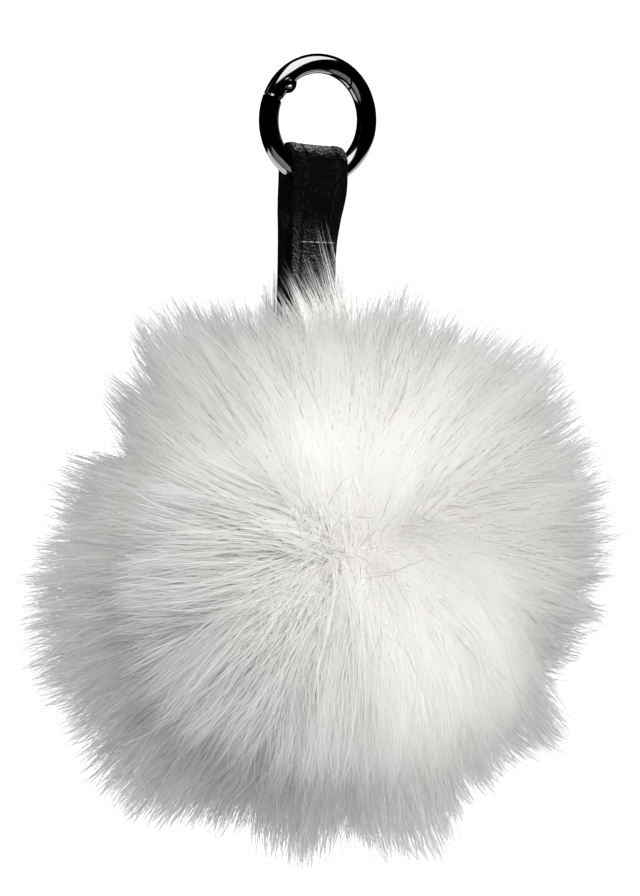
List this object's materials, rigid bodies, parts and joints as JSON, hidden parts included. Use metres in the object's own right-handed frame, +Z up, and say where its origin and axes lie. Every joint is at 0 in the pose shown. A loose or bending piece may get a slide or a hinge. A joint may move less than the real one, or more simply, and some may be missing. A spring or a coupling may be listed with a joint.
{
  "type": "pom pom bag charm",
  "caption": "Round white faux-fur pom pom on a black leather strap, folded through a round spring-gate ring that clips it to a bag.",
  "frame": {"origin": "middle of the flat spot under the fur ball, where the charm lies on the surface", "axes": "+Z up, +Y from the ball along the strap to the ring, +X to the right seen from above with the ring at the top"},
  "size_m": [0.1357, 0.1929, 0.1091],
  "materials": {
    "white_fur": "long soft faux-fur pile",
    "black_leather": "pebbled grain, semi-matt",
    "black_chrome": "polished dark plating"
  },
  "bodies": {
    "charm": {"pompom": "white_fur", "strap": "black_leather", "ring_body": "black_chrome", "rivet": "black_chrome"},
    "gate": {"ring_gate": "black_chrome"}
  },
  "joints": [
    {"name": "gate_hinge", "type": "hinge", "parent": "charm", "child": "gate", "pos_m": [-0.00786, 0.11811, 0.01429], "axis": [-0.4993, 0.0523, -0.8648], "range_deg": [0, 38], "stiffness_Nm_per_rad": 0.01, "springref_deg": -20.05}
  ]
}
